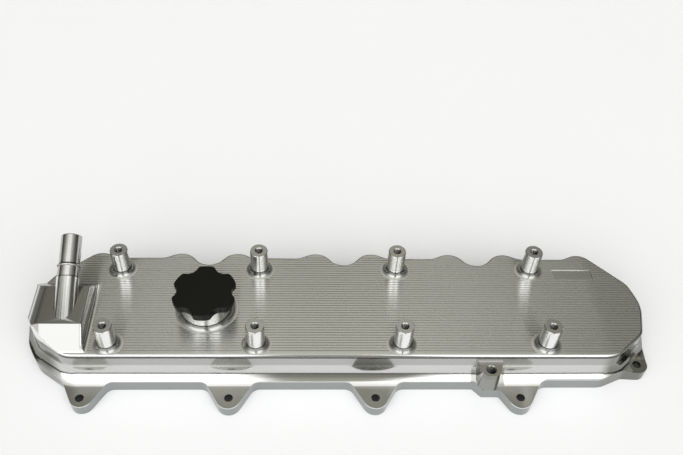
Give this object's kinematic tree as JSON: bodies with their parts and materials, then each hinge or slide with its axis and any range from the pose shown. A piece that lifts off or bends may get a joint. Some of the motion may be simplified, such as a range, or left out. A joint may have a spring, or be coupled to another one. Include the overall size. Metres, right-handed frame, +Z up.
{
  "type": "engine valve cover",
  "caption": "Long machined cover with a ribbed top, rows of threaded standoffs, a lobed screw-in filler cap, a slanted vent tube and bolt lugs around its flange.",
  "frame": {"origin": "middle of the bounding box at the sealing face", "axes": "+X along the cover away from the vent tube, +Y from the front bolt lugs to the scalloped back edge, +Z up out of the engine"},
  "size_m": [0.5006, 0.1402, 0.0809],
  "materials": {
    "machined_aluminium": "machined, fine tool lines",
    "turned_aluminium": "turned, bright",
    "black_anodised": "black anodised, satin",
    "rubber": "matte",
    "sheet_aluminium": "mill",
    "zinc_steel": "zinc plated"
  },
  "bodies": {
    "cover": {"cover_body": "machined_aluminium", "vent_tube": "turned_aluminium", "perimeter_seal": "rubber", "baffle_plate": "sheet_aluminium", "baffle_screw": "zinc_steel"},
    "cap_ring": {"filler_cap_o_ring": "rubber"},
    "cap": {"filler_cap": "black_anodised"}
  },
  "joints": [
    {"name": "cap_rise", "type": "slide", "parent": "cover", "child": "cap_ring", "axis": [0, 0, 1], "range_m": [0, 0.015]},
    {"name": "cap_turn", "type": "hinge", "parent": "cap_ring", "child": "cap", "pos_m": [-0.10614, 0.0032, 0.057], "axis": [0, 0, 1], "range_deg": [0, 1801]}
  ],
  "couplings": [
    {"joint": "cap_turn", "follows": "cap_rise", "rad_per_m": 2094.4}
  ]
}
